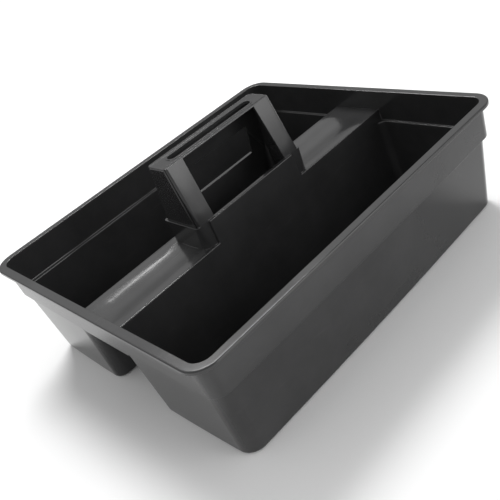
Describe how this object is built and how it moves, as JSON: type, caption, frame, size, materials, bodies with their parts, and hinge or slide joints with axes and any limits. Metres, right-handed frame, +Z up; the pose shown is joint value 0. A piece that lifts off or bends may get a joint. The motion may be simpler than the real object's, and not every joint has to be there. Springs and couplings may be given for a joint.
{
  "type": "cleaning caddy",
  "caption": "Black moulded cleaning caddy: open tray with a deep bin either side of a raised ridge, and a fixed arched carry handle on the ridge.",
  "frame": {"origin": "centre of the footprint, on the floor under the bins", "axes": "+X along the ridge and the grip, +Y across the two bins, +Z up"},
  "size_m": [0.4, 0.356, 0.1794],
  "materials": {
    "tray_plastic": "satin-gloss moulded black polypropylene",
    "strap_plastic": "satin-gloss moulded black polypropylene"
  },
  "bodies": {
    "root": {"tray": "tray_plastic", "handle_strap": "strap_plastic"}
  },
  "joints": []
}
